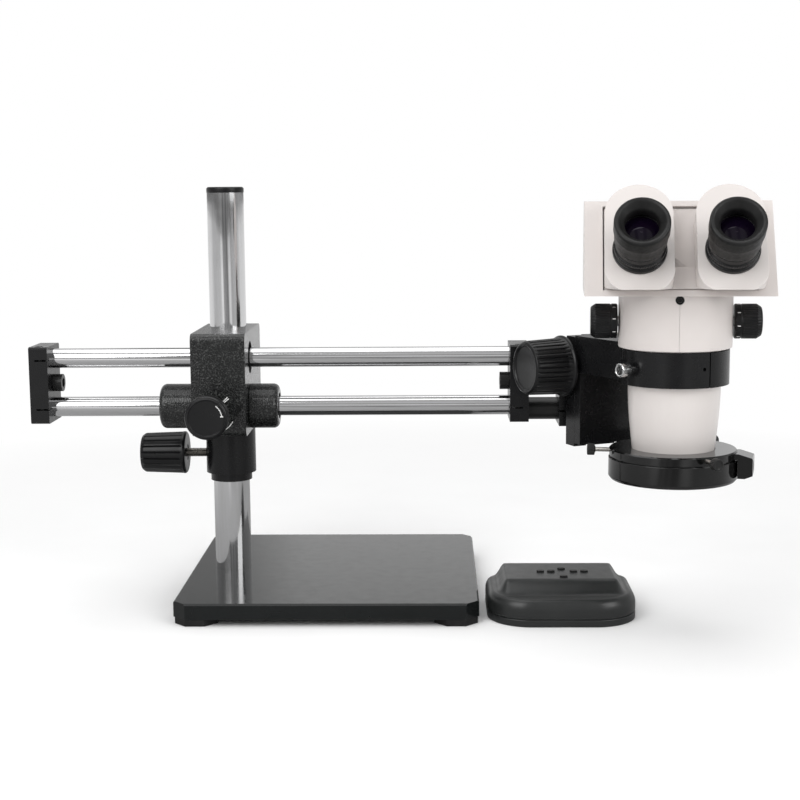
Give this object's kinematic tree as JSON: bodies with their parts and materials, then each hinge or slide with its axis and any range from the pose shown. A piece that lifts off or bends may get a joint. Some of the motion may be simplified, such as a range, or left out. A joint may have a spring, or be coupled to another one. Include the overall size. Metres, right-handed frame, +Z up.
{
  "type": "stereo microscope",
  "caption": "Stereo microscope head with ring light on a sliding twin-tube boom stand, with a coarse focus mount and a desk controller for the light.",
  "frame": {"origin": "on the bench, under the middle of the front left foot", "axes": "+X along the boom to the microscope, +Y away from the person at the eyepieces, +Z up"},
  "size_m": [0.6123, 0.3617, 0.3595],
  "materials": {
    "plate_paint": "gloss",
    "rubber_black": "matte",
    "zinc_steel": "satin",
    "chrome_bar": "polished",
    "black_plastic": "satin",
    "black_anodised": "satin",
    "hammertone": "gloss",
    "bearing_steel": "satin",
    "nylon": "satin",
    "black_steel": "satin",
    "brass": "satin",
    "chrome_screw": "polished",
    "cream_paint": "satin",
    "cream_plastic": "satin",
    "glass_coated": "polished",
    "glass_clear": "polished",
    "gloss_black": "gloss",
    "circuit_board": "satin",
    "led_white": "satin",
    "grey_plastic": "satin",
    "key_rubber": "satin"
  },
  "bodies": {
    "stand_base": {"base_plate": "plate_paint", "base_feet": "rubber_black", "base_screws": "zinc_steel", "column": "chrome_bar", "column_cap": "black_plastic"},
    "collar": {"height_collar": "black_anodised"},
    "collar_lock": {"lock_knob": "black_plastic", "lock_screw": "zinc_steel"},
    "boom_carrier": {"bearing_block": "hammertone", "bearing_barrels": "hammertone", "linear_bearings": "bearing_steel", "brake_pad": "nylon"},
    "tension": {"tension_knob": "black_plastic"},
    "boom": {"boom_tubes": "chrome_bar", "end_blocks": "black_anodised", "boom_screws": "black_steel", "stub_pin": "black_steel"},
    "knuckle": {"knuckle": "black_anodised", "knuckle_screws": "black_steel"},
    "focus_base": {"focus_housing": "black_anodised"},
    "focus_drive": {"focus_knobs": "black_plastic", "pinion_shaft": "bearing_steel"},
    "focus_slide": {"focus_carriage": "black_anodised", "focus_rack": "brass", "holder_ring": "black_anodised"},
    "pod_lock": {"pod_lock_screw": "chrome_screw"},
    "microscope": {"lower_body": "cream_paint", "upper_cover_left": "cream_plastic", "upper_cover_right": "cream_plastic", "cover_screws": "black_steel", "objective_barrel": "black_anodised", "objective_lens": "glass_clear", "head_frame": "cream_plastic", "head_panel": "cream_plastic"},
    "zoom_drive": {"zoom_shaft": "bearing_steel", "zoom_knobs": "black_plastic"},
    "zoom_lenses": {"lens_carriage": "black_anodised"},
    "left_tube": {"left_eyetube": "cream_paint", "left_prism": "glass_clear"},
    "right_tube": {"right_eyetube": "cream_paint", "right_prism": "glass_clear"},
    "left_ocular": {"left_eyepiece": "black_anodised", "left_eyecup": "rubber_black", "left_eye_lens": "glass_coated"},
    "right_ocular": {"right_eyepiece": "black_anodised", "right_eyecup": "rubber_black", "right_eye_lens": "glass_coated"},
    "ring_light": {"ring_light_housing": "gloss_black", "ring_light_bezel": "gloss_black", "led_board": "led_white", "ring_light_screws": "zinc_steel"},
    "controller": {"controller_top": "grey_plastic", "controller_bottom": "grey_plastic", "controller_board": "circuit_board"},
    "button_far_left": {"button_far_left": "key_rubber"},
    "button_left": {"button_left": "key_rubber"},
    "button_back": {"button_back": "key_rubber"},
    "button_front": {"button_front": "key_rubber"},
    "button_right": {"button_right": "key_rubber"},
    "button_far_right": {"button_far_right": "key_rubber"}
  },
  "joints": [
    {"name": "collar_height", "type": "slide", "parent": "stand_base", "child": "collar", "axis": [0, 0, 1], "range_m": [-0.04, 0.11]},
    {"name": "collar_lock_turn", "type": "hinge", "parent": "collar", "child": "collar_lock", "pos_m": [-0.0235, 0.106, 0.1244], "axis": [1, 0, 0], "range_deg": [-180, 180]},
    {"name": "boom_swivel", "type": "hinge", "parent": "collar", "child": "boom_carrier", "pos_m": [0.0165, 0.106, 0.19], "axis": [0, 0, 1], "continuous": true},
    {"name": "tension_turn", "type": "hinge", "parent": "boom_carrier", "child": "tension", "pos_m": [0.013, 0.016, 0.1727], "axis": [0, 1, 0], "range_deg": [-180, 180]},
    {"name": "boom_slide", "type": "slide", "parent": "boom_carrier", "child": "boom", "axis": [1, 0, 0], "range_m": [-0.19, 0.082]},
    {"name": "knuckle_tilt", "type": "hinge", "parent": "boom", "child": "knuckle", "pos_m": [0.3115, 0.072, 0.168], "axis": [1, 0, 0], "range_deg": [-1.5, 10]},
    {"name": "mount_swivel", "type": "hinge", "parent": "knuckle", "child": "focus_base", "pos_m": [0.3285, 0.066, 0.169], "axis": [0, 0, 1], "range_deg": [0, 45]},
    {"name": "focus_travel", "type": "slide", "parent": "focus_base", "child": "focus_slide", "axis": [0, 0, 1], "range_m": [-0.02, 0.02]},
    {"name": "focus_turn", "type": "hinge", "parent": "focus_base", "child": "focus_drive", "pos_m": [0.3496, 0.057, 0.2088], "axis": [-0.9063, -0.4226, 0], "range_deg": [-192, 192]},
    {"name": "pod_lock_turn", "type": "hinge", "parent": "focus_slide", "child": "pod_lock", "pos_m": [0.3482, -0.05272, 0.216], "axis": [-0.848, -0.5299, 0], "range_deg": [-180, 180]},
    {"name": "microscope_turn", "type": "hinge", "parent": "focus_slide", "child": "microscope", "pos_m": [0.3889, -0.02729, 0.216], "axis": [0, 0, 1], "continuous": true},
    {"name": "zoom_travel", "type": "slide", "parent": "microscope", "child": "zoom_lenses", "axis": [0, 0, 1], "range_m": [-0.0084, 0.0084]},
    {"name": "zoom_turn", "type": "hinge", "parent": "microscope", "child": "zoom_drive", "pos_m": [0.3889, -0.02729, 0.2515], "axis": [0.9962, -0.0872, 0], "range_deg": [-121, 121]},
    {"name": "left_tube_turn", "type": "hinge", "parent": "microscope", "child": "left_tube", "pos_m": [0.35552, -0.05028, 0.33], "axis": [-0.0731, -0.8355, 0.5446], "range_deg": [-6, 6.5]},
    {"name": "right_tube_turn", "type": "hinge", "parent": "microscope", "child": "right_tube", "pos_m": [0.42376, -0.05625, 0.33], "axis": [-0.0731, -0.8355, 0.5446], "range_deg": [-6.5, 6]},
    {"name": "left_diopter", "type": "hinge", "parent": "left_tube", "child": "left_ocular", "pos_m": [0.35286, -0.08072, 0.31049], "axis": [-0.0731, -0.8355, 0.5446], "range_deg": [-90, 90]},
    {"name": "right_diopter", "type": "hinge", "parent": "right_tube", "child": "right_ocular", "pos_m": [0.4211, -0.08669, 0.31049], "axis": [-0.0731, -0.8355, 0.5446], "range_deg": [-90, 90]},
    {"name": "ring_light_turn", "type": "hinge", "parent": "microscope", "child": "ring_light", "pos_m": [0.3889, -0.02729, 0.14], "axis": [0, 0, 1], "range_deg": [-170, 170]},
    {"name": "controller_place", "type": "slide", "parent": "stand_base", "child": "controller", "axis": [1, 0, 0], "range_m": [0, 0.15]},
    {"name": "button_far_left_press", "type": "slide", "parent": "controller", "child": "button_far_left", "axis": [0, 0, -1], "range_m": [0, 0.001], "stiffness_N_per_m": 300, "springref_m": -0.0005},
    {"name": "button_left_press", "type": "slide", "parent": "controller", "child": "button_left", "axis": [0, 0, -1], "range_m": [0, 0.001], "stiffness_N_per_m": 300, "springref_m": -0.0005},
    {"name": "button_back_press", "type": "slide", "parent": "controller", "child": "button_back", "axis": [0, 0, -1], "range_m": [0, 0.001], "stiffness_N_per_m": 300, "springref_m": -0.0005},
    {"name": "button_front_press", "type": "slide", "parent": "controller", "child": "button_front", "axis": [0, 0, -1], "range_m": [0, 0.001], "stiffness_N_per_m": 300, "springref_m": -0.0005},
    {"name": "button_right_press", "type": "slide", "parent": "controller", "child": "button_right", "axis": [0, 0, -1], "range_m": [0, 0.001], "stiffness_N_per_m": 300, "springref_m": -0.0005},
    {"name": "button_far_right_press", "type": "slide", "parent": "controller", "child": "button_far_right", "axis": [0, 0, -1], "range_m": [0, 0.001], "stiffness_N_per_m": 300, "springref_m": -0.0005}
  ],
  "couplings": [
    {"joint": "focus_turn", "follows": "focus_travel", "rad_per_m": 166.67},
    {"joint": "zoom_turn", "follows": "zoom_travel", "rad_per_m": 250},
    {"joint": "right_tube_turn", "follows": "left_tube_turn", "ratio": -1}
  ]
}
